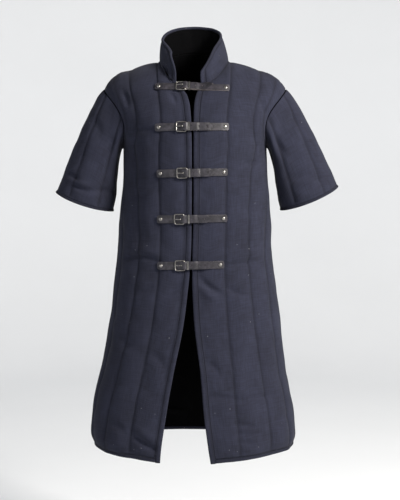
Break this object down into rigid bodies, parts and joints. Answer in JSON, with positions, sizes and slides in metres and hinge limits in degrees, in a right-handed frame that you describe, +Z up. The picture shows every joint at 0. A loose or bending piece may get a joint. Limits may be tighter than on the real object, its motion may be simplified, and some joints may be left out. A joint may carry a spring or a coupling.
{
  "type": "gambeson",
  "caption": "Quilted knee-length padded coat with half sleeves, a stand collar and a row of buckled leather straps down the front.",
  "frame": {"origin": "midway between the two points where the collar meets the shoulder seams, where the wearer's shoulders hold the garment up", "axes": "+Z up along the hanging garment, +X towards the wearer's left arm, -Y the way the wearer faces"},
  "size_m": [0.7308, 0.3268, 1.1106],
  "materials": {
    "quilted_canvas": "dark slate cotton canvas, quilted in upright channels, matt",
    "binding_canvas": "strip of the same canvas, folded over the edges",
    "black_leather": "black dyed leather, half matt",
    "nickel_plate": "nickel-plated steel, polished"
  },
  "bodies": {
    "root": {"back": "quilted_canvas", "binding_collar": "binding_canvas", "binding_cuff_left": "binding_canvas", "binding_cuff_right": "binding_canvas", "binding_front_left": "binding_canvas", "binding_front_right": "binding_canvas", "binding_hem_back": "binding_canvas", "binding_hem_left": "binding_canvas", "binding_hem_right": "binding_canvas", "buckle_1": "nickel_plate", "buckle_2": "nickel_plate", "buckle_3": "nickel_plate", "buckle_4": "nickel_plate", "buckle_5": "nickel_plate", "chape_1": "black_leather", "chape_2": "black_leather", "chape_3": "black_leather", "chape_4": "black_leather", "chape_5": "black_leather", "collar": "quilted_canvas", "front_left": "quilted_canvas", "front_right": "quilted_canvas", "keeper_1": "nickel_plate", "keeper_2": "nickel_plate", "keeper_3": "nickel_plate", "keeper_4": "nickel_plate", "keeper_5": "nickel_plate", "prong_1": "nickel_plate", "prong_2": "nickel_plate", "prong_3": "nickel_plate", "prong_4": "nickel_plate", "prong_5": "nickel_plate", "rivet_1_left": "nickel_plate", "rivet_1_right": "nickel_plate", "rivet_2_left": "nickel_plate", "rivet_2_right": "nickel_plate", "rivet_3_left": "nickel_plate", "rivet_3_right": "nickel_plate", "rivet_4_left": "nickel_plate", "rivet_4_right": "nickel_plate", "rivet_5_left": "nickel_plate", "rivet_5_right": "nickel_plate", "sleeve_left": "quilted_canvas", "sleeve_right": "quilted_canvas", "strap_1": "black_leather", "strap_2": "black_leather", "strap_3": "black_leather", "strap_4": "black_leather", "strap_5": "black_leather"}
  },
  "joints": []
}
